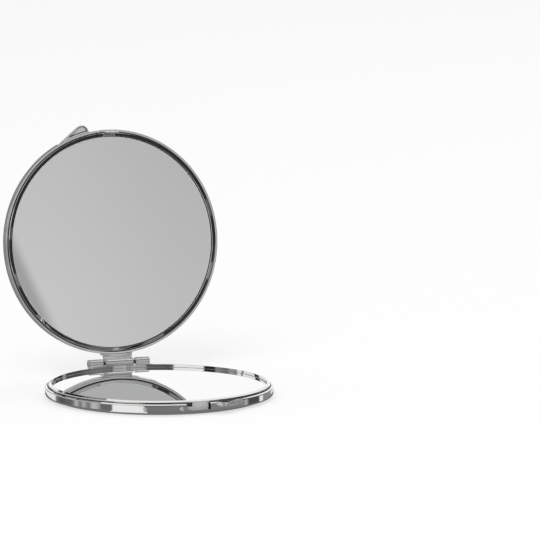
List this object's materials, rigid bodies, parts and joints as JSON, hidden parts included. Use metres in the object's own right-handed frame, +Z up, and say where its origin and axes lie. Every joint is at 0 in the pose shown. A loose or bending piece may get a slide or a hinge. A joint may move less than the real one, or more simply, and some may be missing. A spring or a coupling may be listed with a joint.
{
  "type": "compact mirror",
  "caption": "Round metal pocket compact that opens on a pinned hinge, with a mirror in each half, a printed lid inlay, thumb tabs and a snap catch.",
  "frame": {"origin": "centre of the flat disc on the base's underside, on the surface that the compact lies on", "axes": "+Z up out of the base's mirror, +Y towards the hinge at the back, +X to the right as seen from the front"},
  "size_m": [0.07, 0.0875, 0.0784],
  "materials": {
    "case_chrome": "bright chrome plate",
    "hinge_chrome": "bright chrome plate",
    "mirror_glass": "silvered glass",
    "foam_tape": "closed-cell foam tape",
    "adhesive_film": "clear adhesive film",
    "printed_metal": "white-coated and printed",
    "clear_resin": "clear cast resin",
    "spring_steel": "bright rolled strip",
    "back_plate_steel": "polished disc",
    "pin_steel": "bright drawn wire"
  },
  "bodies": {
    "base": {"base_shell": "case_chrome", "base_bezel": "case_chrome", "base_mirror": "mirror_glass", "base_mirror_pad": "foam_tape", "base_plate_glue": "adhesive_film", "base_back_plate": "back_plate_steel", "base_thumb_tab": "case_chrome", "base_catch_spring": "spring_steel", "base_catch_rivets": "pin_steel", "base_knuckle_left": "hinge_chrome", "base_knuckle_right": "hinge_chrome", "hinge_pin": "pin_steel"},
    "lid": {"lid_shell": "case_chrome", "lid_bezel": "case_chrome", "lid_mirror": "mirror_glass", "lid_mirror_pad": "foam_tape", "lid_print_glue": "adhesive_film", "lid_print_disc": "printed_metal", "lid_print_dome": "clear_resin", "lid_thumb_tab": "case_chrome", "lid_catch_hook": "spring_steel", "lid_hinge_knuckle": "hinge_chrome"}
  },
  "joints": [
    {"name": "lid_hinge", "type": "hinge", "parent": "base", "child": "lid", "pos_m": [0, 0.0377, 0.0046], "axis": [-1, 0, 0], "range_deg": [-97, 83]}
  ]
}
